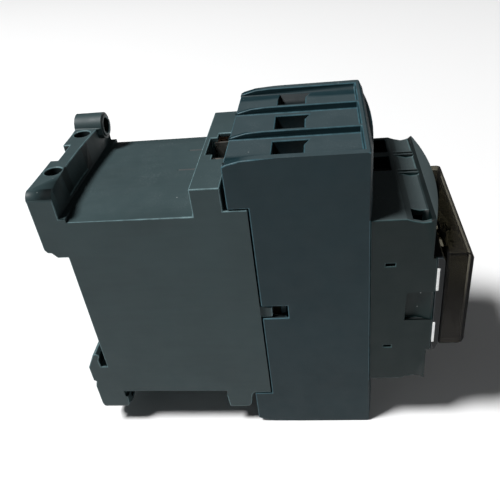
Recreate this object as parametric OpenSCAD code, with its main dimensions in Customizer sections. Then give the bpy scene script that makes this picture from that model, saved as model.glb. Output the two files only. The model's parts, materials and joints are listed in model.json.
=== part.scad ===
// Three-pole contactor-style control relay with a deep magnet housing, two
// auxiliary contacts, a push-on smoked front cover and a 35 mm rail fixing.
//
// The file works in bench coordinates: x across the width, d the depth from
// the mounting plane towards the front, h the height above the lowest edge.
// placed() then moves the part into its own frame: origin at the centre of
// the rail seat, +Z up, and the front facing -Y.

/* [Overall size] */
// Width across the two side walls
body_w = 45; // [44:0.5:48]
// Height of the terminal block, the tallest part of the housing
body_h = 85; // [84:0.5:88]
// Depth of the front face of the smoked cover
cover_front = 102.3; // [101:0.1:104]
// Distance between the centre lines of neighbouring poles
pole_pitch = 15; // [14.8:0.1:15.2]

/* [Rail and panel fixing] */
// Depth of the rail seat in front of the mounting plane
seat_d = 5.5; // [5:0.1:6]
// Height of the rail centre line
rail_h = 44; // [43.5:0.1:44.5]
// Width of the mounting rail
rail_w = 35; // [34.9:0.1:35.2]
// Thickness of the upper and lower flanges
flange_t = 6.3; // [5.8:0.1:6.8]
// Horizontal distance between the two panel screws
fix_spacing_x = 35; // [34:0.5:36]
// Vertical distance between the two panel screws
fix_spacing_h = 70; // [69:0.5:71]
// Radius of the panel screw holes
fix_hole_r = 2.15; // [2.1:0.05:2.3]

/* [Switching mechanism] */
// Travel of the armature and the contact carrier
stroke = 6; // [5:0.1:6]
// Open gap between a moving and a fixed main contact
contact_gap = 4; // [3.5:0.1:4]
// Travel of a terminal clamp between open and tight
clamp_travel = 3; // [2.5:0.1:3]

/* [Hidden] */

half_w = body_w / 2;
mid_h = body_h / 2;
eps = 0.01;
round_fn = 48;

// Housing stations along the depth
base_front = 50.9;
collar_back = 38.3;
collar_front = 45.4;
block_back = 46.4;
block_step = 51.3;
block_front = 78.5;
block_bow = 1.8;
front_back = block_front + 0.05;
front_face = 93;
front_bow = 2.6;
bezel_front = 96;
cheek_t = 1.1;
strip_rebate = [94.15, 94.95];
cheek_front = strip_rebate[0] - 0.05;

// Housing levels
base_top = 72.6;
collar_top = 78.6;
flange_top = 79.5;
flange_bottom = 6.5;
front_top = 68;
land_top = 83.2;
base_wall = 2.2;

// Rail hooks, rail plunger and coil return springs
rail_top = rail_h + rail_w / 2 + 0.1;
plunger_floor = 11.8;
plunger_nose = rail_h - rail_w / 2 + 1.1;
plunger_spring_top = 22;
spring_x = 13.9;

// Magnet
core_back = 11;
core_face = 33;
stack_half = 8;
leg_half = 7;
limb_in = 17.5;
limb_out = 24.5;
shim_t = 0.2;
arm_face = core_face + shim_t + 0.05 + stroke;
arm_plate = 46;
arm_front = 52;
pin_d = 49.5;

// Power terminals
bar_back = 62.3;
bar_t = 1.6;
terminal_h = 74;
cage_tall = 10.4;
cage_half = 4.25;
cage_wall = 1;
cage_back = 57;
cage_front = 66.3;
head_back = cage_front + clamp_travel + 0.3;
head_front = head_back + 2.8;

// Main contacts
tip_h = 12.8;
tip_front = bar_back + bar_t + 1.2;
bridge_tip = tip_front + contact_gap;
bridge_back = bridge_tip + 1.2;
bridge_t = 1.2;

// Auxiliary contacts
aux_x = [6, 16.6];
aux_cage_back = 80.35;
aux_bar_back = 84.6;
aux_bar_t = 0.8;
aux_terminal_h = 62;
aux_tip_h = 9.5;
aux_head_back = 89.25;
aux_head_front = 91.1;

// Coil terminals
coil_x = 7;
coil_h = 75;
coil_cage_back = 40.6;
coil_bar_back = 45;

// ---------------------------------------------------------------- helpers

// Moves bench coordinates into the part's own frame
module placed() {
    translate([0, seat_d, -rail_h])
        children();
}

// Box between two widths, two depths and two heights
module block(x, d, h) {
    translate([x[0], -d[1], h[0]])
        cube([x[1] - x[0], d[1] - d[0], h[1] - h[0]]);
}

// Outline in depth and height, drawn out across the width
module side_prism(outline, x) {
    translate([x[0], 0, 0])
        rotate([90, 0, 90])
            linear_extrude(x[1] - x[0])
                polygon([for (p = outline) [-p[0], p[1]]]);
}

// Outline in width and depth, drawn out over the height
module plan_prism(outline, h) {
    translate([0, 0, h[0]])
        linear_extrude(h[1] - h[0])
            polygon([for (p = outline) [p[0], -p[1]]]);
}

// Outline in width and height, drawn out along the depth
module face_prism(outline, d) {
    translate([0, -d[0], 0])
        rotate([90, 0, 0])
            linear_extrude(d[1] - d[0])
                polygon(outline);
}

// Round bar or hole along the depth
module rod(x, d, h, r) {
    translate([x, -d[0], h])
        rotate([90, 0, 0])
            cylinder(h = d[1] - d[0], r = r, $fn = round_fn);
}

// Swaps top and bottom about the middle of the housing
module flipped(flip = true) {
    if (flip)
        translate([0, 0, body_h])
            mirror([0, 0, 1])
                children();
    else
        children();
}

// Draws its children at the top and again, mirrored, at the bottom
module both_ends() {
    children();
    flipped()
        children();
}

// Draws its children on the right and again, mirrored, on the left
module both_sides() {
    children();
    mirror([1, 0, 0])
        children();
}

// Centre line of pole 1, 2 or 3
function pole_x(pole) = (pole - 2) * pole_pitch;

// Radius of an arc that bows out by bow over the whole width
function bow_radius(bow) = (half_w * half_w + bow * bow) / (2 * bow);

// Upright cylinder that rounds a front face in plan
module bowed_front(front, bow) {
    r = bow_radius(bow);
    translate([0, -(front + bow) + r, -5])
        cylinder(h = body_h + 10, r = r, $fn = 360);
}

// Helical compression spring that starts at the origin and runs along +z
module coil_spring(r, wire_r, turns, length) {
    steps = 10;
    sides = 5;
    rings = turns * steps;
    rise = (length - 2 * wire_r) / rings;
    points = [
        for (i = [0:rings], j = [0:sides - 1])
            let (a = 360 * i / steps, b = 360 * j / sides, rr = r + wire_r * cos(b))
                [rr * cos(a), rr * sin(a), wire_r + rise * i + wire_r * sin(b)]
    ];
    walls = [
        for (i = [0:rings - 1], j = [0:sides - 1], upper = [false, true])
            let (k = (j + 1) % sides, lo = i * sides, hi = lo + sides)
                upper ? [lo + j, hi + k, lo + k] : [lo + j, hi + j, hi + k]
    ];
    caps = [
        [for (j = [0:sides - 1]) j],
        [for (j = [sides - 1:-1:0]) rings * sides + j]
    ];
    polyhedron(points = points, faces = concat(walls, caps), convexity = 8);
}

// Helical spring along the depth
module depth_spring(x, d, h, r, wire_r, turns) {
    translate([x, -d[0], h])
        rotate([90, 0, 0])
            coil_spring(r, wire_r, turns, d[1] - d[0]);
}

// Screw with a pan head, cross recess and plain shank, its head to the front
module terminal_screw(x, h, tip, head_back, head_front, shank_r, head_r) {
    slot_w = head_r * 0.3;
    slot_l = head_r * 0.62;
    slot_back = head_back + (head_front - head_back) * 0.4;
    difference() {
        union() {
            rod(x, [tip, head_back + eps], h, shank_r);
            rod(x, [head_back, head_front - 0.5], h, head_r);
            rod(x, [head_back, head_front], h, head_r - 0.5);
        }
        for (reach = [[slot_l, slot_w / 2], [slot_w / 2, slot_l]])
            block([x - reach[0], x + reach[0]], [slot_back, head_front + 1], [h - reach[1], h + reach[1]]);
    }
}

// Rising clamp: a square ring open to the top, with the screw hole in its front wall
module terminal_clamp(x, h, d, half, wall, tall, hole_r, slot_back) {
    difference() {
        block([x - half, x + half], d, [h - tall / 2, h + tall / 2]);
        block([x - half + wall, x + half - wall], [d[0] + wall, slot_back], [h - tall, h + tall]);
        rod(x, [d[0] + wall, d[1] + 1], h, hole_r);
        for (k = [-1:1])
            block([x - half - 1, x + half + 1], [d[0] - eps, d[0] + 0.3],
                [h + k * tall / 4 - 0.35, h + k * tall / 4 + 0.35]);
    }
}

// ---------------------------------------------------------------- housings

// Side outline of the rear housing
base_outline = concat(
    [[0.1, 8.6], [1.2, flange_bottom], [7, flange_bottom]],
    [[8.4, 8.2], [8.4, 11], [9.4, 12.4]],
    [[38, 12.4], [38.5, 6.6], [44, 6.6], [44.9, 7.4], [45.6, 11.7]],
    [[block_back, 12.4], [base_front, 12.4], [base_front, base_top], [collar_front, base_top]],
    [[collar_front, collar_top], [collar_back, collar_top], [collar_back, base_top]],
    [[flange_t, base_top], [flange_t, flange_top], [0, flange_top], [0, 64.1]],
    [[0.6, 63.1], [1.6, 63], [2.8, rail_top], [seat_d, rail_top], [seat_d, 23.8]],
    [[3.7, 23.8], [3.5, 26], [4.3, 28], [3.2, 28.8], [2.4, 28.4], [0, 23.6], [0, 18.3]],
    [[0.7, 17.9], [0.1, 16]]
);

// Upright cylinder that hollows the front of the upper flange
module flange_dish() {
    ends = [-half_w, 13.5];
    dish = 0.9;
    foot = 0.3;
    half = (ends[1] - ends[0]) / 2;
    r = (half * half + dish * dish) / (2 * dish);
    intersection() {
        translate([ends[0] + half, -(flange_t - dish) - r, base_top + foot])
            cylinder(h = flange_top - base_top + 1, r = r, $fn = 240);
        block([ends[0] - 1, ends[1] + 0.2], [flange_t - dish - 1, flange_t + 1],
            [base_top, flange_top + 2]);
    }
}

module panel_lug(x, h) {
    rod(x, [0, 7.6], h, 3.6);
    rod(x, [7, 8], h, 3);
}

module base_housing() color("darkslategray") placed() {
    lip = [[1.4, 62], [1.4, 60.4], [2.2, 59.6], [3.9, 59.6], [3.9, 62]];
    fix_x = fix_spacing_x / 2;
    fix_top = rail_h + fix_spacing_h / 2;
    fix_bottom = rail_h - fix_spacing_h / 2;
    difference() {
        union() {
            side_prism(base_outline, [-half_w, half_w]);
            panel_lug(fix_x, fix_top);
            panel_lug(-fix_x, fix_bottom);
            both_sides()
                side_prism(lip, [5.5, 16]);
            // Latch tongues that snap into the terminal block
            both_sides()
                block([half_w - 2, half_w - 0.25], [base_front - 1, 54], [40.5, 43.7]);
        }
        // Chamfered side edges of the top and bottom walls
        both_ends()
            both_sides()
                face_prism([[half_w + 1, base_top - 1.6], [half_w + 1, base_top + 1],
                    [half_w - 6.7, base_top + 1], [half_w - 6.7, base_top],
                    [half_w, base_top - 1.1]], [flange_t + 1.6, collar_back]);
        // Magnet and coil chamber
        block([-half_w + base_wall, half_w - base_wall], [8.5, base_front + 1],
            [mid_h - 28, mid_h + 28]);
        // Rounded corners of the flanges
        both_sides()
            corner_cut([half_w, flange_top], 2.4, [-1, 9], 1);
        both_sides()
            corner_cut([half_w, flange_bottom], 1.4, [-1, 9], -1);
        // Dished front of the upper flange, from the near corner to the screw lug
        flange_dish();
        // Moulding holes in the upper flange edge
        for (x = [-11, 11])
            translate([x, -3, flange_top - 5])
                cylinder(h = 6, r = 2.2, $fn = round_fn);
        // Release notch in the back of the upper flange
        block([-5, 4], [-1, 2], [66, flange_top + 1]);
        // Panel screw holes
        rod(fix_x, [-1, 9], fix_top, fix_hole_r);
        rod(-fix_x, [-1, 9], fix_bottom, fix_hole_r);
        // Guide pocket of the rail plunger, its ears and its foot
        block([-6.1, 6.1], [-1, 5], [plunger_floor, 30]);
        block([-8.1, 8.1], [1.5, 3.2], [plunger_floor, 20.05]);
        block([-3.6, 3.6], [0.8, 2.4], [0, plunger_floor + 1]);
        // Coil terminal pockets and the wire notch between them
        block([-4.9, 4.9], [collar_back + 1.4, collar_front + 1], [base_top - 1.6, collar_top + 1]);
        both_sides()
            coil_pocket();
        // Shallow moulding grooves beside the collar
        block([-0.7, 0], [30.6, 35.4], [base_top - 0.5, base_top + 1]);
        block([10.9, 11.6], [31.6, collar_back], [base_top - 0.5, base_top + 1]);
    }
    // Ribs that seat the fixed core and its pads
    both_ends()
        block([-6, 6], [8.4, 17.4], [mid_h + limb_out, mid_h + 28.1]);
    both_sides()
        block([stack_half, half_w - base_wall + 0.1], [8.4, 15], [mid_h - 3, mid_h + 3]);
}

// Square corner less its rounding, along the depth
module corner_cut(corner, r, d, up) {
    c = [corner[0] - r, corner[1] - up * r];
    difference() {
        face_prism([[c[0], c[1]], [corner[0] + 1, c[1]], [corner[0] + 1, corner[1] + up],
            [c[0], corner[1] + up]], d);
        rod(c[0], [d[0] - 1, d[1] + 1], c[1], r);
    }
}

module coil_pocket() {
    block([coil_x - 2.8, coil_x + 2.8], [coil_cage_back - 0.2, collar_front + 1],
        [coil_h - 3.2, coil_h + 2.4]);
    block([coil_x - 2.5, coil_x + 0.6], [coil_cage_back + 0.9, coil_bar_back - 0.2],
        [coil_h, collar_top + 1]);
    block([coil_x - 1.6, coil_x + 1.6], [coil_bar_back - 0.1, coil_bar_back + 0.9], [mid_h + 26, coil_h]);
}

// Side outline of the terminal block, with its curved upper and lower rear edges
block_outline = concat(
    [[block_step, 12.1], [block_back, 12.1], [block_back, 1.5]],
    [[47.4, 1], [50.6, 0.25], [54.5, 0], [78.4, 0], [79.2, 0.5], [79.4, 1.4]],
    [[81, 1.4], [81, body_h - 1.4]],
    [[79.4, body_h - 1.4], [79.2, body_h - 0.5], [78.4, body_h]],
    [[54.5, body_h], [50.6, body_h - 0.25]],
    [[47.4, body_h - 1], [block_back, body_h - 1.5], [block_back, body_h - 12.1]],
    [[block_step, body_h - 12.1]]
);

// Wire funnel in a terminal land, with a pointed front side
module wire_funnel(pole) {
    x = pole_x(pole);
    plan_prism([[x - 5.2, 57], [x + 5.2, 57], [x + 5.2, 65.4], [x + 2.4, 64.2], [x - 2.4, 64.2],
        [x - 5.2, 65.4]], [79.4, body_h + 1]);
    block([x - cage_half - 0.15, x + cage_half + 0.15], [cage_back - 0.2, head_front + 0.6],
        [terminal_h - cage_tall / 2 - 0.4, 79.5]);
    rod(x, [head_front, 90], terminal_h, 3.05);
    // Sunken terminal land between the ribs
    rib = 0.55;
    end_wall = 2.15;
    x0 = x - pole_pitch / 2 + (pole == 1 ? end_wall : rib);
    x1 = x + pole_pitch / 2 - (pole == 3 ? end_wall : rib);
    block([x0, x1], [block_back - 1, 77.4], [land_top, body_h + 1]);
    // Slot in which the contact bar stands
    block([x - 3.1, x + 3.1], [bar_back - 0.05, bar_back + bar_t + 0.05], [50, terminal_h]);
}

module contact_housing() color("darkslategray") placed() {
    wall = 2;
    difference() {
        intersection() {
            side_prism(block_outline, [-half_w, half_w]);
            bowed_front(block_front, block_bow);
        }
        // Seat of the front block
        block([-half_w - 1, half_w + 1], [block_front, 90], [mid_h - 25.8, mid_h + 25.8]);
        // Magnet side chamber, open to the rear housing
        block([-half_w + wall, half_w - wall], [45, 56], [mid_h - 28, mid_h + 28]);
        // Arc chambers of the three poles
        for (pole = [1:3])
            block([pole_x(pole) - 6.7, pole_x(pole) + 6.7], [57.5, block_front + 1],
                [mid_h - 22, mid_h + 22]);
        // Gangway of the contact carrier
        block([-half_w + wall + 0.8, half_w - wall - 0.8], [57.5, block_front + 1],
            [mid_h - 7.2, mid_h + 7.2]);
        block([-4.2, 4.2], [55, 58], [mid_h - 5.7, mid_h + 5.7]);
        // Power terminals
        both_ends()
            for (pole = [1:3])
                wire_funnel(pole);
        // Screwdriver tunnels and head pockets of the coil terminals
        both_sides() {
            block([coil_x - 2.8, coil_x + 2.8], [45, 51.8], [coil_h - 3.2, coil_h + 2.4]);
            rod(coil_x, [51, 90], coil_h, 1.75);
        }
        // Latch windows
        both_sides()
            block([half_w - 2.3, half_w + 1], [51, 58], [40.1, 44.1]);
    }
}

// Side outline of the front block, with a dished top and bottom edge
front_outline = concat(
    [[front_back, mid_h - 25.5], [86.6, mid_h - 25.5]],
    [[88.2, mid_h - 24.9], [90.2, mid_h - 24.4], [92, mid_h - 24.6], [93, mid_h - 25.5]],
    [[99, mid_h - 25.5], [99, mid_h + 25.5]],
    [[93, mid_h + 25.5], [92, mid_h + 24.6], [90.2, mid_h + 24.4], [88.2, mid_h + 24.9]],
    [[86.6, mid_h + 25.5], [front_back, mid_h + 25.5]]
);

module aux_terminal_room(i) {
    x = aux_x[i];
    // Wire entry from above
    block([x - 3.9, x + 3.9], [80.2, 85.6], [65.4, front_top + 1]);
    block([x - 3.6, x + 3.6], [80.2, 91.3], [aux_terminal_h - 3.6, 65.5]);
    rod(x, [91, 99], aux_terminal_h, 2.35);
    // Passage of the contact bar into the contact room
    block([x - 2.3, x + 2.3], [80.05, 91.3], [50, 60]);
}

module front_housing() color("darkslategray") placed() {
    side = half_w - 0.4;
    difference() {
        union() {
            intersection() {
                side_prism(front_outline, [-side, side]);
                bowed_front(front_face, front_bow);
            }
            // Cheeks beside the bezel
            both_sides()
                block([side - cheek_t, side], [92, cheek_front], [27.6, 56.9]);
        }
        // Seat of the bezel
        block([-side + cheek_t, side - cheek_t], [92.6, 100], [27.4, 57.1]);
        block([-half_w, half_w], [cheek_front, 100], [27.4, 57.1]);
        // Contact room
        block([-side + 1.5, side - 1.5], [80, 93], [mid_h - 14.5, mid_h + 14.5]);
        // Gangway of the contact carrier through the rear wall
        block([-4.6, side - 1.5], [78, 81], [mid_h - 6.6, mid_h + 6.6]);
        block([pole_x(1) - 4.4, -4], [78, 81], [mid_h - 6.6, mid_h + 6.6]);
        both_ends()
            for (i = [0:1])
                aux_terminal_room(i);
        // Lightening pocket behind the plain half of the block, top and bottom
        both_ends()
            block([-side + 1.5, -3.5], [80, 90.9], [mid_h + 14.4, mid_h + 23]);
        // Latch slots for add-on blocks
        both_ends()
            block([-21.1, -16.6], [88, 92.3], [mid_h + 20, mid_h + 27]);
        both_sides() {
            block([side - 1.1, side + 1], [82.1, 84.4], [55, 55.9]);
            block([side - 1.1, side + 1], [82.1, 84.1], [28.7, 29.5]);
            cover_grip();
        }
    }
    // Pairs of thin dividing ribs between the auxiliary wire entries
    both_ends()
        for (x = [0.3, 1.8, 10.7, 12.2])
            block([x, x + 0.6], [86.8, 92.2], [mid_h + 24.2, mid_h + 25.4]);
}

// Ramped finger recess in the side of the front block
module cover_grip() {
    side = half_w - 0.4;
    depth = 1.3;
    plan_prism([[side + 1, 87.2], [side - depth, 87.2], [side - depth, 89.8], [side - 0.3, 93.1],
        [side - 0.3, 95], [side + 1, 95]], [38, 46.9]);
}

// Side outline of the bezel plate
bezel_outline = [
    [92.7, 27.6], [95.4, 27.8], [bezel_front, 29.6], [bezel_front, 55.8], [95.4, 56.9], [92.7, 57]
];

module front_bezel() color("dimgray") placed() {
    side = half_w - 0.4;
    difference() {
        union() {
            difference() {
                side_prism(bezel_outline, [-side, side]);
                both_sides()
                    block([side - cheek_t - 0.05, half_w], [92, strip_rebate[0]], [27, 58]);
            }
            // Guide rails for an add-on block
            for (x = [-14.5, 11.5])
                block([x, x + 3], [bezel_front - eps, 98.6], [33, 53]);
            // Raised pad with a finger notch at the near edge
            block([-20.8, -16], [bezel_front - eps, 97.4], [35, 52.5]);
        }
        // Window of the position indicator
        block([-3.4, 3.4], [92, 97], [mid_h - 4.4, mid_h + 4.4]);
        // Clearance behind the plate for the carrier and contact bars
        block([-5, 20.5], [92, 94.2], [mid_h - 13.5, mid_h + 13.5]);
        // Rebates for the label strips
        block([-half_w, half_w], strip_rebate, [47.2, 54]);
        block([-half_w, half_w], strip_rebate, [30.3, 37.1]);
        // Slots for the tongues of the clear cover
        for (x = [-9, 9], h = [30.9, 55])
            block([x - 2.1, x + 2.1], [92, 97], [h - 0.7, h + 0.7]);
        block([-19.6, -17.2], [96.6, 98], [46.4, 50]);
    }
}

module label_strips() color("white") placed() {
    side = half_w - 0.3;
    for (h = [30.4, 47.3])
        difference() {
            block([-side, side], [94.25, 94.85], [h, h + 6.6]);
            for (x = [-9, 9], k = [30.9, 55])
                block([x - 2.3, x + 2.3], [94, 95], [k - 0.9, k + 0.9]);
            block([-3.6, 3.6], [94, 95], [mid_h - 5.6, mid_h + 5.6]);
        }
}

module clear_cover() color("dimgray", 0.5) placed() {
    wall = 1;
    side = half_w - 0.2;
    outline = concat(
        [[bezel_front + 0.1, 29.8]],
        [[cover_front - 1.4, 29.8], [cover_front - 0.4, 30.2], [cover_front, 31.4]],
        [[cover_front, 56.8], [cover_front - 0.5, 57.9], [cover_front - 1.4, 58.2]],
        [[bezel_front + 0.1, 58.2]]
    );
    difference() {
        side_prism(outline, [-side, side]);
        block([-side + wall, side - wall], [bezel_front, cover_front - wall], [29.8 + wall, 58.2 - wall]);
    }
    // Push-in tongues
    for (x = [-9, 9], h = [30.9, 55])
        block([x - 1.9, x + 1.9], [93.2, bezel_front + 2], [h - 0.5, h + 0.5]);
    for (x = [-9, 9])
        block([x - 1.9, x + 1.9], [bezel_front + 0.6, bezel_front + 2], [54.5, 57.5]);
}

// ---------------------------------------------------------------- magnet and coil

// One half of the magnet: a plate from back to knee and three limbs to face
module e_core(back, knee, face) {
    lo = min(back, knee);
    hi = max(back, knee);
    block([-stack_half, stack_half], [lo, hi], [mid_h - limb_out, mid_h + limb_out]);
    limb = [min(knee, face), max(knee, face)];
    block([-stack_half, stack_half], limb, [mid_h - leg_half, mid_h + leg_half]);
    both_ends()
        block([-stack_half, stack_half], limb, [mid_h + limb_in, mid_h + limb_out]);
}

module fixed_core() color("silver") placed() {
    difference() {
        e_core(core_back, 17.5, core_face);
        for (h = [mid_h - 12, mid_h + 12])
            translate([-stack_half - 1, -14.2, h])
                rotate([0, 90, 0])
                    cylinder(h = 2 * stack_half + 2, r = 1.6, $fn = 24);
    }
}

module core_pads() color("black") placed() {
    both_ends()
        block([-stack_half, stack_half], [8.5, core_back], [mid_h + 8, mid_h + limb_out - 0.5]);
}

module residual_shim() color("goldenrod") placed() {
    block([-stack_half + 0.5, stack_half - 0.5], [core_face, core_face + shim_t],
        [mid_h - leg_half + 0.5, mid_h + leg_half - 0.5]);
}

module coil_bobbin() color("ivory") placed() {
    bore_x = stack_half + 0.4;
    bore_h = leg_half + 0.4;
    tube = 1.1;
    difference() {
        union() {
            block([-bore_x - tube, bore_x + tube], [17.8, 39.5],
                [mid_h - bore_h - tube, mid_h + bore_h + tube]);
            for (d = [17.8, 38.1])
                block([-18.2, 18.2], [d, d + 1.4], [mid_h - 17.1, mid_h + 17.1]);
            // Arms that carry the coil leads up past the magnet
            both_sides()
                block([9.6, 13], [37.8, 39.5], [mid_h + 17, mid_h + 26.9]);
        }
        block([-bore_x, bore_x], [17, 41], [mid_h - bore_h, mid_h + bore_h]);
        // Seats of the return springs
        for (x = [-spring_x, spring_x])
            rod(x, [39, 41], mid_h, 3.45);
    }
}

module coil_winding() color("sienna") placed() {
    inner_x = stack_half + 1.55;
    inner_h = leg_half + 1.55;
    outer_x = 16.8;
    outer_h = 16;
    r = 4;
    difference() {
        union() {
            block([-outer_x + r, outer_x - r], [19.25, 38.05], [mid_h - outer_h, mid_h + outer_h]);
            block([-outer_x, outer_x], [19.25, 38.05], [mid_h - outer_h + r, mid_h + outer_h - r]);
            both_ends()
                both_sides()
                    rod(outer_x - r, [19.25, 38.05], mid_h + outer_h - r, r);
        }
        block([-inner_x, inner_x], [18, 39], [mid_h - inner_h, mid_h + inner_h]);
    }
}

module coil_suppressor() color("black") placed() {
    block([-8, 8], [30, 37], [mid_h + limb_out + 0.6, mid_h + limb_out + 3.2]);
}

// Bars that join the coil leads to the two coil terminals
module coil_contacts() color("orange") placed() {
    both_sides() {
        side_prism([[coil_bar_back, coil_h + 2.2], [coil_bar_back + 0.8, coil_h + 2.2],
            [coil_bar_back + 0.8, mid_h + 26.9], [37.8, mid_h + 26.9], [37.8, mid_h + 27.7],
            [coil_bar_back, mid_h + 27.7]], [coil_x - 1.5, coil_x + 1.5]);
        block([coil_x, 12.9], [37.8, 39.2], [mid_h + 26.9, mid_h + 27.7]);
    }
}

module armature() color("silver") placed() {
    difference() {
        e_core(arm_front, arm_plate, arm_face);
        translate([-stack_half - 1, -pin_d, mid_h])
            rotate([0, 90, 0])
                cylinder(h = 2 * stack_half + 2, r = 1.55, $fn = round_fn);
        block([-2.2, 2.2], [arm_plate + 1, arm_front + 1], [mid_h - 4, mid_h + 4]);
    }
}

module armature_pin() color("gainsboro") placed() {
    translate([-10.6, -pin_d, mid_h])
        rotate([0, 90, 0])
            cylinder(h = 21.2, r = 1.5, $fn = round_fn);
}

// ---------------------------------------------------------------- carrier and contacts

module contact_carrier() color("ivory") placed() {
    plate_h = 7;
    window_front = 77;
    difference() {
        union() {
            // Plate that holds the armature and meets the return springs
            block([-17.4, 17.4], [arm_front + 0.1, 55.8], [mid_h - plate_h, mid_h + plate_h]);
            both_sides()
                block([8.3, 10.6], [47, 53], [mid_h - 4, mid_h + 4]);
            // Stem through the rear deck
            block([-3.8, 3.8], [55, 65], [mid_h - 5.3, mid_h + 5.3]);
            // Cross beam and the three contact posts
            block([-19.3, 19.3], [64, 68.9], [mid_h - 6, mid_h + 6]);
            for (pole = [1:3])
                block([pole_x(pole) - 4.2, pole_x(pole) + 4.2], [64, 78.2], [mid_h - 6, mid_h + 6]);
            // Nose and the arm of the auxiliary contacts
            block([-3, 3], [78, 92.2], [mid_h - 4, mid_h + 4]);
            block([2, 19.9], [80.9, 92.2], [mid_h - 4, mid_h + 4]);
        }
        for (pole = [1:3])
            block([pole_x(pole) - 3.2, pole_x(pole) + 3.2], [bridge_back, window_front],
                [mid_h - 7, mid_h + 7]);
        block([aux_x[0] - 2.2, aux_x[0] + 2.2], [86.1, 91], [mid_h - 7, mid_h + 7]);
        block([aux_x[1] - 2.2, aux_x[1] + 2.2], [82.2, 88.95], [mid_h - 7, mid_h + 7]);
        // Bore of the armature pin
        translate([-20, -pin_d, mid_h])
            rotate([0, 90, 0])
                cylinder(h = 40, r = 1.5, $fn = round_fn);
        // Socket of the position indicator
        block([-1.6, 1.6], [90, 93], [mid_h - 2, mid_h + 2]);
    }
}

module position_indicator() color("white") placed() {
    block([-3, 3], [92.2, 95.2], [mid_h - 4, mid_h + 4]);
    block([-1.6, 1.6], [90, 92.3], [mid_h - 2, mid_h + 2]);
}

module return_spring(x) color("lightgray") placed() {
    depth_spring(x, [39.05, 52.05], mid_h, 2.9, 0.35, 6);
}

// Moving contact bridge with a round tip at each end
module bridge(pole) color("peru") placed() {
    x = pole_x(pole);
    half = 15.6;
    nip = 1.7;
    face_prism([[x - 3 + nip, mid_h - half], [x + 3 - nip, mid_h - half], [x + 3, mid_h - half + nip],
        [x + 3, mid_h + half - nip], [x + 3 - nip, mid_h + half], [x - 3 + nip, mid_h + half],
        [x - 3, mid_h + half - nip], [x - 3, mid_h - half + nip]], [bridge_back, bridge_back + bridge_t]);
    for (h = [mid_h - tip_h, mid_h + tip_h])
        rod(x, [bridge_tip, bridge_back], h, 2.2);
}

module bridge_spring(pole) color("lightgray") placed() {
    depth_spring(pole_x(pole), [bridge_back + bridge_t, 77], mid_h, 2.3, 0.3, 4);
}

module aux_bridge(i, tip_d) color("peru") placed() {
    x = aux_x[i];
    block([x - 2, x + 2], [86.1, 86.9], [mid_h - 11.2, mid_h + 11.2]);
    for (h = [mid_h - aux_tip_h, mid_h + aux_tip_h])
        rod(x, tip_d, h, 1.3);
}

module aux_spring(i, d) color("lightgray") placed() {
    depth_spring(aux_x[i], d, mid_h, 1.5, 0.25, 4);
}

// Fixed main contact: a flat bar from the terminal down to a round tip
module main_contact(pole) {
    x = pole_x(pole);
    block([x - 3, x + 3], [bar_back, bar_back + bar_t], [mid_h + 9.8, terminal_h + 4.9]);
    rod(x, [bar_back + bar_t, tip_front], mid_h + tip_h, 2.3);
}

module line_contacts() color("orange") placed() {
    for (pole = [1:3])
        main_contact(pole);
}

module load_contacts() color("orange") placed() {
    flipped()
        for (pole = [1:3])
            main_contact(pole);
}

// Cranked auxiliary contact bar from the terminal to its tip at another level
module aux_contact(i, level, tip_d) {
    x = [aux_x[i] - 1.8, aux_x[i] + 1.8];
    lo = min(level, aux_bar_back);
    hi = max(level, aux_bar_back) + aux_bar_t;
    crank = [56.6, 57.4];
    block(x, [aux_bar_back, aux_bar_back + aux_bar_t], [crank[0], aux_terminal_h + 3]);
    block(x, [lo, hi], crank);
    block(x, [level, level + aux_bar_t], [mid_h + 8, crank[1]]);
    rod(aux_x[i], tip_d, mid_h + aux_tip_h, 1.4);
}

module aux_contacts_no() color("orange") placed() {
    both_ends()
        aux_contact(0, 80.2, [81, 81.6]);
}

module aux_contacts_nc() color("orange") placed() {
    both_ends()
        aux_contact(1, 88, [87.4, 88]);
}

// ---------------------------------------------------------------- terminals

module power_clamp(pole, lower) color("gainsboro") placed() {
    flipped(lower)
        terminal_clamp(pole_x(pole), terminal_h, [cage_back, cage_front], cage_half, cage_wall,
            cage_tall, 1.8, 65);
}

module power_screw(pole, lower) color("gainsboro") placed() {
    flipped(lower)
        terminal_screw(pole_x(pole), terminal_h, bar_back + bar_t + 0.05, head_back, head_front, 1.74, 3.3);
}

// Auxiliary terminals 1 and 2 are at the top, 3 and 4 at the bottom
module aux_clamp(number) color("gainsboro") placed() {
    flipped(number > 2)
        terminal_clamp(aux_x[(number - 1) % 2], aux_terminal_h, [aux_cage_back, 86.5],
            3.3, 0.8, 5.6, 1.45, 85.6);
}

module aux_screw(number) color("gainsboro") placed() {
    flipped(number > 2)
        terminal_screw(aux_x[(number - 1) % 2], aux_terminal_h, aux_bar_back + aux_bar_t + 0.05,
            aux_head_back, aux_head_front, 1.4, 2.6);
}

module coil_clamp(side) color("gainsboro") placed() {
    terminal_clamp(side * coil_x, coil_h, [coil_cage_back, 46.8], 2.5, 0.7, 4.6, 1.25, 46);
}

module coil_screw(side) color("gainsboro") placed() {
    terminal_screw(side * coil_x, coil_h, coil_bar_back + 0.85, 49.6, 51.4, 1.2, 2.2);
}

// ---------------------------------------------------------------- rail fixing

module rail_plunger() color("darkslategray") placed() {
    difference() {
        union() {
            side_prism([[0.6, 16], [4.4, 16], [4.4, plunger_nose], [3.4, plunger_nose], [0.6, 24.8]],
                [-5.9, 5.9]);
            block([-7.9, 7.9], [1.7, 3], [16, 20]);
            // Foot for the screwdriver
            block([-3.4, 3.4], [1, 2.2], [3.8, 17]);
        }
        // Pocket of the spring
        block([-1.5, 1.5], [2.35, 6], [15, plunger_spring_top]);
        // Slot for the blade
        block([-1.6, 1.6], [0, 3], [4.9, 5.8]);
    }
}

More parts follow.
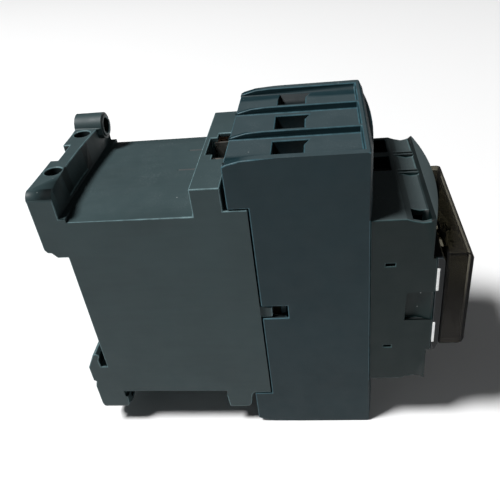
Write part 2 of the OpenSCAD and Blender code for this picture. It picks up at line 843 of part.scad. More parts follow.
module rail_spring() color("lightgray") placed() {
    translate([0, -3.7, plunger_floor])
        coil_spring(0.95, 0.25, 6, plunger_spring_top - plunger_floor);
}

base_housing();
contact_housing();
front_housing();
front_bezel();
label_strips();
clear_cover();
fixed_core();
core_pads();
residual_shim();
coil_bobbin();
coil_winding();
coil_suppressor();
coil_contacts();
armature();
armature_pin();
contact_carrier();
position_indicator();
return_spring(-spring_x);  // return_spring_left
return_spring(spring_x);  // return_spring_right
bridge(1);  // bridge_1
bridge(2);  // bridge_2
bridge(3);  // bridge_3
bridge_spring(1);  // bridge_spring_1
bridge_spring(2);  // bridge_spring_2
bridge_spring(3);  // bridge_spring_3
aux_bridge(0, [85.6, 86.1]);  // aux_bridge_no
aux_bridge(1, [86.9, 87.35]);  // aux_bridge_nc
aux_spring(0, [86.9, 91]);  // aux_spring_no
aux_spring(1, [82.2, 86.1]);  // aux_spring_nc
line_contacts();
load_contacts();
aux_contacts_no();
aux_contacts_nc();
power_clamp(1, false);  // line_clamp_1
power_clamp(2, false);  // line_clamp_2
power_clamp(3, false);  // line_clamp_3
power_clamp(1, true);  // load_clamp_1
power_clamp(2, true);  // load_clamp_2
power_clamp(3, true);  // load_clamp_3
power_screw(1, false);  // line_screw_1
power_screw(2, false);  // line_screw_2
power_screw(3, false);  // line_screw_3
power_screw(1, true);  // load_screw_1
power_screw(2, true);  // load_screw_2
power_screw(3, true);  // load_screw_3
aux_clamp(1);  // aux_clamp_1
aux_clamp(2);  // aux_clamp_2
aux_clamp(3);  // aux_clamp_3
aux_clamp(4);  // aux_clamp_4
aux_screw(1);  // aux_screw_1
aux_screw(2);  // aux_screw_2
aux_screw(3);  // aux_screw_3
aux_screw(4);  // aux_screw_4
coil_clamp(-1);  // coil_clamp_1
coil_clamp(1);  // coil_clamp_2
coil_screw(-1);  // coil_screw_1
coil_screw(1);  // coil_screw_2
rail_plunger();
rail_spring();
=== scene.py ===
"""Looks of the control relay: rounded mouldings, springs, screws and procedural materials."""

import json
import math

import bmesh
import bpy
from mathutils import Matrix, Vector
from mathutils.bvhtree import BVHTree


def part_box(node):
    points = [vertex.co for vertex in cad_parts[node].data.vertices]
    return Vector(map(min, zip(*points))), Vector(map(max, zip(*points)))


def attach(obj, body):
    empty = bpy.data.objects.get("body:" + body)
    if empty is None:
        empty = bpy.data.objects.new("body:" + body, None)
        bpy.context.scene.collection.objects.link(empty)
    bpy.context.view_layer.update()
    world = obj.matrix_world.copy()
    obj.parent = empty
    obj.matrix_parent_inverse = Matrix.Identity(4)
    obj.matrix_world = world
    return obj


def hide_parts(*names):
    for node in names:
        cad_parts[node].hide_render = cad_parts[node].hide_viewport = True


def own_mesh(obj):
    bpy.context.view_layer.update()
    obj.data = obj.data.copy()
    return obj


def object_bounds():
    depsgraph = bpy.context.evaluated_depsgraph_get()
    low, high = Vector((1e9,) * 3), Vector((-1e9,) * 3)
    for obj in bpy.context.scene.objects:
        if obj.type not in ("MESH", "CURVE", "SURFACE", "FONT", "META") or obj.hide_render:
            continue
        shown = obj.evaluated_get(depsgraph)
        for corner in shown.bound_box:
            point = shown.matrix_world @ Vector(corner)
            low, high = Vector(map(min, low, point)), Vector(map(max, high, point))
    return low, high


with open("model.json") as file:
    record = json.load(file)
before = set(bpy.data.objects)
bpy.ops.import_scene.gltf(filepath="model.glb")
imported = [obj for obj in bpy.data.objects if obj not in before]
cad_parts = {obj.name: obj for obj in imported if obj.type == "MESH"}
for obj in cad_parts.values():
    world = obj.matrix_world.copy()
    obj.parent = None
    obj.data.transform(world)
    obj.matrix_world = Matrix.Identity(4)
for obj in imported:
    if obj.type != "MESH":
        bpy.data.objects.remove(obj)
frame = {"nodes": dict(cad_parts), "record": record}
cad_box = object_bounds()
MM = 0.001
FLAT = math.radians(0.4)          # faces that meet at less than this are one plane
COPLANAR = 0.99999                # least cosine between faces of one flat region
SAME_POINT = 0.002 * MM           # corners nearer than this are joined
CUT_MARGIN = 0.003 * MM
STRAIGHT_ON = -0.85               # an edge runs straight on below this cosine
WELL_WIDTH = 11.5                 # millimetres across a hole or slot that counts as deep


# ---------------------------------------------------------------- camera, floor and lights

def make_camera():
    place = Vector((-136.3, -63.8, 95.9)) * MM
    forward = Vector((0.8062, 0.1141, -0.5806)).normalized()
    right = forward.cross(Vector((0.5876, -0.0383, 0.8083))).normalized()
    up = right.cross(forward)
    data = bpy.data.cameras.new("camera")
    data.lens = 42.48
    data.sensor_width = 36
    data.shift_x = -0.0264
    data.shift_y = 0.0251
    data.clip_start = 0.01
    camera = bpy.data.objects.new("camera", data)
    facing = Matrix((right, up, -forward)).transposed().to_4x4()
    camera.matrix_world = Matrix.Translation(place) @ facing
    bpy.context.collection.objects.link(camera)
    bpy.context.scene.camera = camera


def area_light(name, towards, distance, size, power, colour=(1, 1, 1)):
    """An area light that lies in a direction from the object and shines at it."""
    data = bpy.data.lights.new(name, "AREA")
    data.shape = "DISK"
    data.size = size
    data.energy = power
    data.color = colour
    light = bpy.data.objects.new(name, data)
    middle = (cad_box[0] + cad_box[1]) / 2
    direction = Vector(towards).normalized()
    light.location = middle + direction * distance
    light.rotation_euler = direction.to_track_quat("Z", "Y").to_euler()
    bpy.context.collection.objects.link(light)


def make_world():
    """Pale where it is seen past the floor's edge, dim as a source of light."""
    world = bpy.data.worlds.new("studio")
    world.use_nodes = True
    tree = world.node_tree
    seen = tree.nodes["Background"]
    seen.inputs["Color"].default_value = (0.93, 0.94, 0.95, 1)
    lit = tree.nodes.new("ShaderNodeBackground")
    lit.inputs["Color"].default_value = (0.9, 0.95, 1, 1)
    lit.inputs["Strength"].default_value = 0.03
    either = tree.nodes.new("ShaderNodeMixShader")
    rays = tree.nodes.new("ShaderNodeLightPath")
    tree.links.new(rays.outputs["Is Camera Ray"], either.inputs["Fac"])
    tree.links.new(lit.outputs["Background"], either.inputs[1])
    tree.links.new(seen.outputs["Background"], either.inputs[2])
    tree.links.new(either.outputs["Shader"], tree.nodes["World Output"].inputs["Surface"])
    return world


def make_studio():
    area_light("key_light", (-0.26, 0.66, 1.3), 2.0, 0.5, 66)
    area_light("fill_light", (-0.9, 0.9, 0.5), 1.1, 0.9, 0.6, (0.93, 0.97, 1.0))
    area_light("front_light", (0.35, -1.0, 0.15), 1.6, 1.0, 7.0)
    bpy.context.scene.world = make_world()
    bpy.context.scene.view_settings.view_transform = "Standard"

    radius = 3
    mesh = bpy.data.meshes.new("floor")
    outline = bmesh.new()
    bmesh.ops.create_circle(outline, cap_ends=True, radius=radius, segments=64)
    outline.to_mesh(mesh)
    floor = bpy.data.objects.new("floor", mesh)
    floor.location.z = cad_box[0].z - 0.05 * MM
    bpy.context.collection.objects.link(floor)
    paint = bpy.data.materials.new("floor_paint")
    paint.use_nodes = True
    shader = paint.node_tree.nodes["Principled BSDF"]
    shader.inputs["Base Color"].default_value = (0.74, 0.74, 0.74, 1)
    shader.inputs["Roughness"].default_value = 0.9
    shader.inputs["Specular IOR Level"].default_value = 0.1
    mesh.materials.append(paint)


# ---------------------------------------------------------------- material tools

class Nodes:
    """Short calls that add and join nodes in one material."""

    def __init__(self, name):
        self.material = bpy.data.materials.new(name)
        self.material.use_nodes = True
        self.tree = self.material.node_tree
        self.shader = self.tree.nodes["Principled BSDF"]
        self.place = self.add("ShaderNodeTexCoord").outputs["Object"]

    def add(self, kind, **settings):
        node = self.tree.nodes.new(kind)
        for key, value in settings.items():
            setattr(node, key, value)
        return node

    def put(self, socket, value):
        if isinstance(value, bpy.types.NodeSocket):
            self.tree.links.new(value, socket)
        elif isinstance(value, (tuple, list)) and len(value) == 3 and socket.type == "RGBA":
            socket.default_value = (*value, 1)
        else:
            socket.default_value = value

    def scaled(self, per_mm):
        """Object coordinates with this many cells to the millimetre, in X, Y and Z."""
        node = self.add("ShaderNodeMapping")
        self.put(node.inputs["Vector"], self.place)
        node.inputs["Scale"].default_value = Vector(per_mm) / MM
        return node.outputs["Vector"]

    def noise(self, size, detail=3.0, rough=0.55, stretch=(1, 1, 1)):
        """Noise from 0 to 1 whose features are about this many millimetres across."""
        node = self.add("ShaderNodeTexNoise")
        self.put(node.inputs["Vector"], self.scaled([1 / (size * s) for s in stretch]))
        node.inputs["Scale"].default_value = 1
        node.inputs["Detail"].default_value = detail
        node.inputs["Roughness"].default_value = rough
        return node.outputs["Fac"]

    def specks(self, spacing, radius):
        """Small round specks, 1 at the middle and 0 outside the radius, in millimetres."""
        node = self.add("ShaderNodeTexVoronoi")
        self.put(node.inputs["Vector"], self.scaled([1 / spacing] * 3))
        node.inputs["Scale"].default_value = 1
        spot = self.ramp(node.outputs["Distance"], radius / spacing, 0.4 * radius / spacing)
        chance = self.add("ShaderNodeSeparateColor")
        self.put(chance.inputs["Color"], node.outputs["Color"])
        return spot, chance.outputs["Red"]

    def ramp(self, value, low, high, to_low=0.0, to_high=1.0):
        node = self.add("ShaderNodeMapRange")
        for socket, given in zip(node.inputs, (value, low, high, to_low, to_high)):
            self.put(socket, given)
        return node.outputs["Result"]

    def math(self, operation, a, b=0.0):
        node = self.add("ShaderNodeMath", operation=operation)
        self.put(node.inputs[0], a)
        self.put(node.inputs[1], b)
        return node.outputs["Value"]

    def blend(self, share, a, b):
        node = self.add("ShaderNodeMix", data_type="RGBA")
        self.put(node.inputs["Factor"], share)
        self.put(node.inputs["A"], a)
        self.put(node.inputs["B"], b)
        return node.outputs["Result"]

    def attribute(self, name):
        return self.add("ShaderNodeAttribute", attribute_name=name).outputs["Fac"]

    def upward(self):
        """How far the surface faces up, from -1 to 1."""
        parts = self.add("ShaderNodeSeparateXYZ")
        self.put(parts.inputs["Vector"], self.add("ShaderNodeNewGeometry").outputs["Normal"])
        return parts.outputs["Z"]

    def edge_on(self):
        """1 on faces that look up, down or sideways, and 0 on those that face forwards or back."""
        parts = self.add("ShaderNodeSeparateXYZ")
        self.put(parts.inputs["Vector"], self.add("ShaderNodeNewGeometry").outputs["Normal"])
        return self.ramp(self.math("ABSOLUTE", parts.outputs["Y"]), 0.75, 0.45)

    def beyond_y(self, place, blur_mm):
        """1 in front of a plane across Y and 0 behind it."""
        parts = self.add("ShaderNodeSeparateXYZ")
        self.put(parts.inputs["Vector"], self.place)
        return self.ramp(parts.outputs["Y"], place + blur_mm * MM, place - blur_mm * MM)

    def along_z(self, start, end):
        """0 at the first height, 1 at the second and beyond it."""
        parts = self.add("ShaderNodeSeparateXYZ")
        self.put(parts.inputs["Vector"], self.place)
        return self.ramp(parts.outputs["Z"], start, end)

    def bump(self, height, depth_mm, strength=1.0, under=None):
        node = self.add("ShaderNodeBump")
        node.inputs["Distance"].default_value = depth_mm * MM
        node.inputs["Strength"].default_value = strength
        self.put(node.inputs["Height"], height)
        if under:
            self.put(node.inputs["Normal"], under)
        return node.outputs["Normal"]

    def finish(self, colour, roughness, normal=None, **fixed):
        self.put(self.shader.inputs["Base Color"], colour)
        self.put(self.shader.inputs["Roughness"], roughness)
        if normal:
            self.put(self.shader.inputs["Normal"], normal)
        for key, value in fixed.items():
            self.shader.inputs[key.replace("_", " ")].default_value = value
        return self.material


def moulded_plastic(name, colour, rough=0.5, dust=0.5, edge=2.2, grain=0.02, veil=0.06,
                    rest=(0.988, 0.998)):
    """Dark moulded housing plastic: fine grain, faint flow marks, pale edges that are partly wear and
    partly a painted highlight, and painted shade in the wells.

    Dust settles where the surface faces up between the two shares in rest: patches of film
    over a veil that is even."""
    n = Nodes(name)
    colour = Vector(colour)
    cloudy = n.ramp(n.noise(22, 2), 0.3, 0.7)
    base = n.blend(cloudy, tuple(colour * 0.9), tuple(colour * 1.1))
    flow = n.ramp(n.noise(1.3, 3, stretch=(1, 9, 1)), 0.35, 0.75)
    base = n.blend(n.math("MULTIPLY", flow, 0.35), base, tuple(colour * 1.25))
    # Painted highlight, partly wear: rounded edges are lightened in patches so that they show as bright
    # lines.
    worn_and_highlit = n.ramp(n.noise(2.2, 4), 0.34, 0.62, 0.45, 1.0)
    worn_and_highlit = n.math("MULTIPLY", worn_and_highlit, n.attribute("edge"))
    pale = tuple(colour * edge + Vector((0.02, 0.024, 0.026)))
    base = n.blend(worn_and_highlit, base, pale)
    spot, chance = n.specks(2.1, 0.2)
    spot = n.math("MULTIPLY", spot, n.math("GREATER_THAN", chance, 0.9))
    film = n.ramp(n.noise(0.35, 5, 0.7), 0.52, 0.8)
    patch = n.ramp(n.noise(7, 3), 0.45, 0.75)
    level = n.math("MULTIPLY", n.ramp(n.upward(), *rest), dust)
    film = n.math("ADD", n.math("MULTIPLY", n.math("MULTIPLY", film, patch), 0.5), veil)
    base = n.blend(n.math("MULTIPLY", film, level), base, (0.22, 0.26, 0.27))
    base = n.blend(n.math("MULTIPLY", spot, 0.7), base, (0.4, 0.43, 0.43))
    # Painted shade: faces that look into holes, slots and wire entries (attribute deep) are darkened
    # towards a tenth of the colour.
    base = n.blend(n.math("MULTIPLY", n.attribute("deep"), 0.72), base, tuple(colour * 0.1))
    roughness = n.ramp(n.noise(4, 4), 0.3, 0.7, rough - 0.06, rough + 0.07)
    roughness = n.math("ADD", roughness, n.math("MULTIPLY", worn_and_highlit, -0.1))
    fine = n.noise(0.16, 2, 0.6)
    broad = n.noise(9, 2)
    normal = n.bump(fine, grain, 0.6)
    normal = n.bump(broad, 0.12, 0.25, normal)
    return n.finish(base, roughness, normal, Specular_IOR_Level=0.25)


def plain_plastic(name, colour, rough=0.45, variation=0.08, grain=0.01):
    n = Nodes(name)
    colour = Vector(colour)
    cloudy = n.ramp(n.noise(6, 3), 0.3, 0.7)
    base = n.blend(cloudy, tuple(colour * (1 - variation)), tuple(colour * (1 + variation)))
    # Painted highlight: rounded edges are lightened.
    base = n.blend(n.math("MULTIPLY", n.attribute("edge"), 0.35), base, tuple(colour * 1.3))
    spot, chance = n.specks(1.4, 0.1)
    spot = n.math("MULTIPLY", spot, n.math("GREATER_THAN", chance, 0.9))
    base = n.blend(n.math("MULTIPLY", spot, 0.4), base, tuple(colour * 0.6 + Vector((0.1, 0.1, 0.1))))
    roughness = n.ramp(n.noise(2.5, 4), 0.3, 0.7, rough - 0.05, rough + 0.07)
    return n.finish(base, roughness, n.bump(n.noise(0.2, 3), grain, 0.6))


def smoked_plastic(name, front, low):
    """Clear brown-olive cover: a dark tint with a thin gloss, scuffed and a little dusty.

    The front wall, whose inner face lies at this depth in metres, is near black seen edge on: painted
    shade, an opaque near-black film on its edge-on faces and on the rounded edges.
    The tinted film covers more of the cover from the first of the two heights in low to the second."""
    n = Nodes(name)
    haze = n.ramp(n.noise(1.8, 5, 0.65), 0.35, 0.8)
    tint = n.blend(haze, (0.31, 0.30, 0.26), (0.39, 0.38, 0.335))
    # Painted shade: the tint darkens on the rounded edges.
    tint = n.blend(n.math("MULTIPLY", n.attribute("edge"), 0.7), tint, (0.08, 0.08, 0.065))
    scratch = n.ramp(n.noise(0.5, 4, 0.7, stretch=(1, 1, 14)), 0.62, 0.72)
    roughness = n.math("ADD", n.ramp(haze, 0, 1, 0.05, 0.12), n.math("MULTIPLY", scratch, 0.2))
    clear = n.add("ShaderNodeBsdfTransparent")
    n.put(clear.inputs["Color"], tint)
    normal = n.bump(n.noise(5, 2), 0.05, 0.3)
    edge_on = n.edge_on()
    rim = n.math("MULTIPLY", n.beyond_y(front, 0.25), edge_on)
    dusty = n.ramp(haze, 0, 1, 0.7, 1.2)
    share = n.ramp(edge_on, 0, 1, 0.04, 0.13)
    share = n.math("ADD", share, n.math("MULTIPLY", n.along_z(*low), n.ramp(edge_on, 0, 1, 0.03, 0.17)))
    share = n.math("MULTIPLY", share, dusty)
    share = n.math("ADD", share, n.math("MULTIPLY", n.attribute("edge"), 0.6))
    share = n.math("MAXIMUM", share, rim)
    # Painted shade: the rim and the rounded edges get an opaque near-black film, for how the tinted wall
    # looks seen edge on.
    dark = n.math("MAXIMUM", rim, n.attribute("edge"))
    film = n.blend(dark, (0.085, 0.08, 0.074), (0.003, 0.003, 0.003))
    roughness = n.math("MAXIMUM", roughness, n.math("MULTIPLY", dark, 0.6))
    n.finish(film, roughness, normal, Specular_IOR_Level=0.1)
    either = n.add("ShaderNodeMixShader")
    n.put(either.inputs["Fac"], share)
    n.put(either.inputs[1], clear.outputs["BSDF"])
    n.put(either.inputs[2], n.shader.outputs["BSDF"])
    n.put(n.tree.nodes["Material Output"].inputs["Surface"], either.outputs["Shader"])
    return n.material


def metal(name, colour, rough=0.3, brushed=(1, 1, 1), stain=(0.2, 0.16, 0.12), stained=0.3, grain=0.01):
    """Plated or ground metal with brush marks, dull patches and edges lightened in colour, partly as
    polish and partly as a painted highlight.
    """
    n = Nodes(name)
    colour = Vector(colour)
    brush = n.noise(0.25, 4, 0.6, stretch=brushed)
    patch = n.ramp(n.noise(1.6, 4), 0.42, 0.72)
    base = n.blend(n.ramp(brush, 0.3, 0.7), tuple(colour * 0.85), tuple(colour * 1.08))
    base = n.blend(n.math("MULTIPLY", patch, stained), base, stain)
    # Painted highlight, partly polish: rounded edges are lightened.
    base = n.blend(n.math("MULTIPLY", n.attribute("edge"), 0.6), base, tuple(colour * 1.2))
    roughness = n.ramp(patch, 0, 1, rough, rough + 0.22)
    return n.finish(base, roughness, n.bump(brush, grain, 0.7), Metallic=1.0)


def wound_wire(name):
    """Enamelled copper wire in layers, wound about the depth axis."""
    n = Nodes(name)
    turns = n.add("ShaderNodeTexWave", wave_type="BANDS", bands_direction="Y", wave_profile="SIN")
    n.put(turns.inputs["Vector"], n.scaled((1, 1, 1)))
    turns.inputs["Scale"].default_value = 0.7
    turns.inputs["Distortion"].default_value = 0.6
    turns.inputs["Detail"].default_value = 2
    base = n.blend(turns.outputs["Fac"], (0.10, 0.03, 0.01), (0.42, 0.16, 0.05))
    base = n.blend(n.ramp(n.noise(3, 3), 0.4, 0.7), base, (0.3, 0.1, 0.04))
    roughness = n.ramp(n.noise(1, 3), 0.3, 0.7, 0.25, 0.4)
    return n.finish(base, roughness, n.bump(turns.outputs["Fac"], 0.12, 1.0), Coat_Weight=0.5)


def label_stock(name):
    n = Nodes(name)
    fibre = n.noise(0.3, 4, 0.7, stretch=(4, 1, 1))
    base = n.blend(n.ramp(fibre, 0.3, 0.7), (0.72, 0.73, 0.72), (0.85, 0.86, 0.85))
    base = n.blend(n.ramp(n.noise(3, 4), 0.55, 0.8), base, (0.6, 0.6, 0.56))
    return n.finish(base, n.ramp(fibre, 0.3, 0.7, 0.5, 0.65), n.bump(fibre, 0.01, 0.5))


def make_materials():
    cover_low, cover_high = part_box("clear_cover")
    cover_wall = 1.0 * MM
    cover_film_heights = (cover_high.z - 9 * MM, cover_low.z + 5 * MM)
    return {
        "rear_plastic": moulded_plastic("rear_plastic", (0.023, 0.0405, 0.0435), 0.5, 0.8, 3.6),
        "block_plastic": moulded_plastic("block_plastic", (0.0045, 0.018, 0.023), 0.5, 1.0, 3.4,
                                         veil=0.12),
        "front_plastic": moulded_plastic("front_plastic", (0.001, 0.0085, 0.0088), 0.5, 0.8, 3.6,
                                         veil=0.22, rest=(0.6, 0.9)),
        "bezel_plastic": moulded_plastic("bezel_plastic", (0.002, 0.003, 0.004), 0.42, 0.1),
        "label_white": label_stock("label_white"),
        "smoked_cover": smoked_plastic("smoked_cover", cover_low.y + cover_wall, cover_film_heights),
        "core_steel": metal("core_steel", (0.40, 0.40, 0.41), 0.32, (1, 8, 1)),
        "pad_rubber": plain_plastic("pad_rubber", (0.02, 0.02, 0.02), 0.75, 0.2, 0.03),
        "shim_brass": metal("shim_brass", (0.75, 0.56, 0.28), 0.25, (6, 1, 1)),
        "inner_plastic": plain_plastic("inner_plastic", (0.62, 0.58, 0.46), 0.5),
        "winding_wire": wound_wire("winding_wire"),
        "suppressor_case": plain_plastic("suppressor_case", (0.02, 0.02, 0.022), 0.35, 0.15),
        "indicator_white": plain_plastic("indicator_white", (0.74, 0.73, 0.68), 0.4),
        "spring_steel": metal("spring_steel", (0.62, 0.62, 0.62), 0.22, (1, 1, 1)),
        "screw_steel": metal("screw_steel", (0.60, 0.60, 0.58), 0.3, (1, 1, 1)),
        "clamp_steel": metal("clamp_steel", (0.56, 0.54, 0.50), 0.34, (1, 4, 1)),
        "contact_copper": metal("contact_copper", (0.80, 0.46, 0.30), 0.3, (1, 1, 6)),
    }


# ---------------------------------------------------------------- pieces

def node_slots():
    return {s["node"]: s["material_slot"] for s in frame["record"]["subparts"]}


def body_of_node():
    groups = frame["record"]["behaviour"]["bodies"]
    return {node: body for body, members in groups.items() for node in members}


def is_sharp(edge, limit):
    return len(edge.link_faces) == 2 and edge.calc_face_angle(0) > limit


def flat_regions(bm):
    """Groups of joined faces that lie in one plane."""
    seen = set()
    for start in bm.faces:
        if start in seen:
            continue
        region, waiting = [], [start]
        seen.add(start)
        while waiting:
            face = waiting.pop()
            region.append(face)
            for edge in face.edges:
                if is_sharp(edge, FLAT):
                    continue
                for other in edge.link_faces:
                    if other not in seen and other.normal.dot(start.normal) > COPLANAR:
                        seen.add(other)
                        waiting.append(other)
        yield region


def loops_of(region):
    """The closed outlines of a flat region, each as a set of its vertices."""
    faces = set(region)
    rim = {}
    for face in region:
        for edge in face.edges:
            if len(faces.intersection(edge.link_faces)) == 1:
                for a, b in (edge.verts, reversed(edge.verts)):
                    rim.setdefault(a, []).append(b)
    while rim:
        waiting = [next(iter(rim))]
        loop = set()
        while waiting:
            vert = waiting.pop()
            if vert in rim:
                loop.add(vert)
                waiting += rim.pop(vert)
        yield loop


def cut_through_holes(bm):
    """Cuts each flat face across the middle of each of its holes, so that no face goes round a hole."""
    for region in list(flat_regions(bm)):
        if not all(face.is_valid for face in region) or len(region) < 8:
            continue
        boxes = []
        for loop in loops_of(region):
            points = [v.co for v in loop]
            low = Vector([min(p[k] for p in points) for k in range(3)])
            high = Vector([max(p[k] for p in points) for k in range(3)])
            boxes.append(((high - low).length, (low + high) / 2))
        boxes.sort(key=lambda b: b[0])
        normal = region[0].normal
        across = 0 if abs(normal.x) < 0.5 else 2
        direction = Vector([float(k == across) for k in range(3)])
        direction = (direction - normal * direction.dot(normal)).normalized()
        faces = set(region)
        done = []
        for size, middle in boxes[:-1]:
            if any(abs((middle - other).dot(direction)) < 0.3 * MM for other in done):
                continue
            done.append(middle)
            edges = {edge for face in faces for edge in face.edges}
            verts = {vert for face in faces for vert in face.verts}
            made = bmesh.ops.bisect_plane(bm, geom=list(faces) + list(edges) + list(verts),
                                          dist=CUT_MARGIN, plane_co=middle, plane_no=direction)
            faces = {g for g in made["geom"] if isinstance(g, bmesh.types.BMFace)}
            for g in made["geom_cut"]:
                if isinstance(g, bmesh.types.BMEdge):
                    g.seam = True


def room_in_face(edge, face):
    """How far a face reaches from one of its edges before it meets another of its sharp edges."""
    loop = next(corner for corner in face.loops if corner.edge == edge)
    start, end = loop.vert.co, loop.link_loop_next.vert.co
    along = (end - start).normalized()
    inward = face.normal.cross(along)
    room = 1.0
    for share in (0.02, 0.25, 0.5, 0.75, 0.98):
        foot = start.lerp(end, share)
        for other in face.edges:
            if other == edge or not is_sharp(other, FLAT):
                continue
            a, b = (v.co - foot for v in other.verts)
            s, t = a.dot(along), b.dot(along)
            if s * t < 0:
                height = (a + (b - a) * (s / (s - t))).dot(inward)
                if height > 0.001 * MM:
                    room = min(room, height)
    return room


def room_at_corners(edge):
    """The shortest edge that leaves either end of this one at a corner."""
    room = 1.0
    for vert in edge.verts:
        outward = (edge.other_vert(vert).co - vert.co).normalized()
        for other in vert.link_edges:
            away = (other.other_vert(vert).co - vert.co).normalized()
            if other != edge and away.dot(outward) > STRAIGHT_ON:
                room = min(room, other.calc_length())
    return room


def apply_modifiers(piece):
    """Turns what the piece's modifiers make into its mesh."""
    bpy.context.view_layer.update()
    seen = piece.evaluated_get(bpy.context.evaluated_depsgraph_get())
    piece.data = bpy.data.meshes.new_from_object(seen)
    piece.modifiers.clear()


def rounded(node, width, segments=2, limit=28):
    """A moulding in place of a CAD node: the same faces with every sharp edge rounded off.

    An edge with little room beside it stays sharp. The new edge faces carry the attribute
    "edge", which the materials read."""
    bm = bmesh.new()
    bm.from_mesh(frame["nodes"][node].data)
    bmesh.ops.remove_doubles(bm, verts=bm.verts, dist=SAME_POINT)
    cut_through_holes(bm)
    bmesh.ops.dissolve_limit(bm, angle_limit=FLAT, verts=bm.verts, edges=bm.edges, delimit={"SEAM"})
    weight = bm.edges.layers.float.new("bevel_weight_edge")
    for edge in bm.edges:
        if is_sharp(edge, math.radians(limit)):
            beside = min(room_in_face(edge, face) for face in edge.link_faces)
            edge[weight] = float(beside > 2.1 * width * MM and room_at_corners(edge) > 0.6 * width * MM)
    for face in bm.faces:
        face.smooth = True
    mesh = bpy.data.meshes.new(node + "_sharp")
    bm.to_mesh(mesh)
    bm.free()
    piece = bpy.data.objects.new(node + "_moulding", mesh)
    bpy.context.collection.objects.link(piece)
    bevel = piece.modifiers.new("bevel", "BEVEL")
    bevel.limit_method = "WEIGHT"
    bevel.width = width * MM
    bevel.segments = segments
    bevel.use_clamp_overlap = False
    bevel.loop_slide = False
    bevel.material = 1
    for _ in range(2):
        mesh.materials.append(None)
    apply_modifiers(piece)
    piece.data.name = node + "_moulding"
    on_edge = [float(face.material_index) for face in piece.data.polygons]
    piece.data.attributes.new("edge", "FLOAT", "FACE").data.foreach_set("value", on_edge)
    piece.data.polygons.foreach_set("material_index", [0] * len(on_edge))
    piece.data.set_sharp_from_angle(angle=math.radians(50))
    normals = piece.modifiers.new("normals", "WEIGHTED_NORMAL")
    normals.weight = 100
    normals.keep_sharp = True
    apply_modifiers(piece)
    if node in BOW_RADIUS:
        shade_bow(piece.data, BOW_RADIUS[node] * MM)
    mark_wells(piece)
    return piece


def shade_bow(mesh, radius):
    """Gives the bowed front the normals of a true cylinder about an upright axis."""
    normals = [corner.vector.copy() for corner in mesh.corner_normals]
    for face in mesh.polygons:
        if face.normal.y < -0.96 and abs(face.normal.z) < 0.02:
            for loop in face.loop_indices:
                x = mesh.vertices[mesh.loops[loop].vertex_index].co.x / radius
                normals[loop] = Vector((x, -math.sqrt(1 - x * x), 0))
    mesh.normals_split_custom_set(normals)


def mark_wells(piece):
    """Writes the attribute "deep": the share of each face that looks at the piece itself close by,
    as the walls of holes, slots and wire entries do. The housing materials paint shade in these wells
    with it."""
    mesh = piece.data
    tree = BVHTree.FromPolygons([v.co for v in mesh.vertices], [p.vertices for p in mesh.polygons])
    deep = []
    for face in mesh.polygons:
        corners = [mesh.vertices[i].co for i in face.vertices]
        starts = [face.center] + [face.center.lerp(corner, 0.5) for corner in corners[:12]]
        lift = face.normal * 0.01 * MM
        hits = [tree.ray_cast(start + lift, face.normal, WELL_WIDTH * MM)[0] for start in starts]
        deep.append(sum(hit is not None for hit in hits) / len(hits))
    mesh.attributes.new("deep", "FLOAT", "FACE").data.foreach_set("value", deep)


def settle(piece, node, replaced=True):
    """Gives a piece its slot's material and its body, and hides the CAD node it stands for."""
    piece.data.materials.clear()
    piece.data.materials.append(MATERIALS[SLOTS[node]])
    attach(piece, BODIES[node])
    if replaced:
        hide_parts(node)
    return piece


def unit(axis):
    direction = Vector((0, 0, 0))
    direction[axis] = 1
    return direction


def spring_rise(turned, turns, length, wire):
    """How far along a spring with closed ends its wire has come after this many turns."""
    closed = 0.9
    if turned < closed:
        return wire + turned / closed * wire
    if turned > turns - closed:
        return length - wire - (turns - turned) / closed * wire
    open_share = (turned - closed) / (turns - 2 * closed)
    return 2 * wire + open_share * (length - 4 * wire)


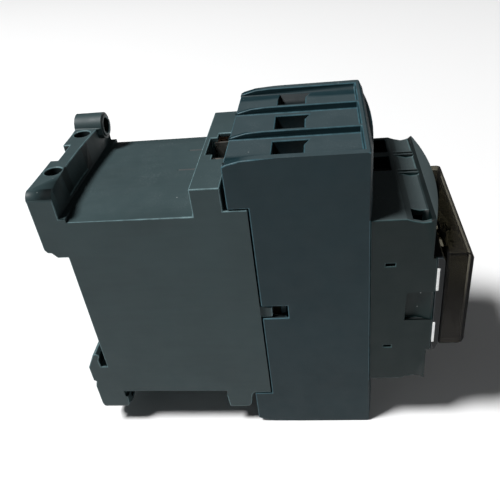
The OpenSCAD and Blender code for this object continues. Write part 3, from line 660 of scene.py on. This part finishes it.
def coil_spring(node, axis, wire_mm, turns):
    """A round-wire compression spring with closed ends that fills the box of its CAD node."""
    sides = 10
    steps = 28 * turns
    wire = wire_mm * MM
    low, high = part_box(node)
    radius = (high - low)[0] / 2 - wire
    lift = unit(axis)
    bm = bmesh.new()
    rings = []
    for step in range(steps + 1):
        turned = step / steps * turns
        angle = turned * math.tau
        out = math.cos(angle) * unit((axis + 1) % 3) + math.sin(angle) * unit((axis + 2) % 3)
        middle = (low + high) / 2 + out * radius
        middle[axis] = low[axis] + spring_rise(turned, turns, (high - low)[axis], wire)
        ring = []
        for side in range(sides):
            around = side / sides * math.tau
            ring.append(bm.verts.new(middle + wire * (math.cos(around) * out + math.sin(around) * lift)))
        rings.append(ring)
    for first, second in zip(rings, rings[1:]):
        for side in range(sides):
            after = (side + 1) % sides
            bm.faces.new((first[side], first[after], second[after], second[side])).smooth = True
    bm.faces.new(reversed(rings[0]))
    bm.faces.new(rings[-1])
    bmesh.ops.recalc_face_normals(bm, faces=bm.faces)
    mesh = bpy.data.meshes.new(node + "_wire")
    bm.to_mesh(mesh)
    bm.free()
    spring = bpy.data.objects.new(node + "_wire", mesh)
    bpy.context.collection.objects.link(spring)
    return spring


def make_springs():
    """Coil springs in place of the CAD spring nodes; a spring beside a joint gets a mesh of its own."""
    y, z = 1, 2
    low_end, high_end = 0, 1
    # node, axis, wire radius in millimetres, turns, joint, fixed end, share of the length kept
    springs = [
        ("return_spring_left", y, 0.35, 6, "carrier_slide", high_end, 0.538),
        ("return_spring_right", y, 0.35, 6, "carrier_slide", high_end, 0.538),
        ("bridge_spring_1", y, 0.3, 4, "bridge_1_overtravel", low_end, 0.636),
        ("bridge_spring_2", y, 0.3, 4, "bridge_2_overtravel", low_end, 0.636),
        ("bridge_spring_3", y, 0.3, 4, "bridge_3_overtravel", low_end, 0.636),
        ("aux_spring_no", y, 0.25, 4, "aux_no_overtravel", low_end, 0.512),
        ("aux_spring_nc", y, 0.25, 4, None, low_end, 1),
        ("rail_spring", z, 0.25, 6, "rail_plunger_slide", low_end, 0.657),
    ]
    for node, axis, wire, turns, joint, end, keep in springs:
        spring = settle(coil_spring(node, axis, wire, turns), node)
        if joint:
            anchor = tuple(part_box(node)[end])
            tuple(unit(axis))
            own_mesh(spring)
    return [row[0] for row in springs]


def finish_cad_node(node):
    """A CAD node whose shape is right keeps it and gets its slot's material."""
    mesh = frame["nodes"][node].data
    mesh.materials.clear()
    mesh.materials.append(MATERIALS[SLOTS[node]])


SLOTS = node_slots()
BODIES = body_of_node()

make_camera()
make_studio()
MATERIALS = make_materials()

# Rounding of the sharp edges by material slot, and the radius of the bowed fronts, in millimetres
EDGE_RADIUS = {"rear_plastic": 0.28, "block_plastic": 0.28, "front_plastic": 0.22,
               "bezel_plastic": 0.18, "smoked_cover": 0.3, "label_white": 0.06}
BOW_RADIUS = {"contact_housing": 141.5, "front_housing": 98.7}
SPRINGS = make_springs()
for node, slot in SLOTS.items():
    if node in SPRINGS:
        continue
    if slot in EDGE_RADIUS:
        settle(rounded(node, EDGE_RADIUS[slot]), node)
    else:
        finish_cad_node(node)
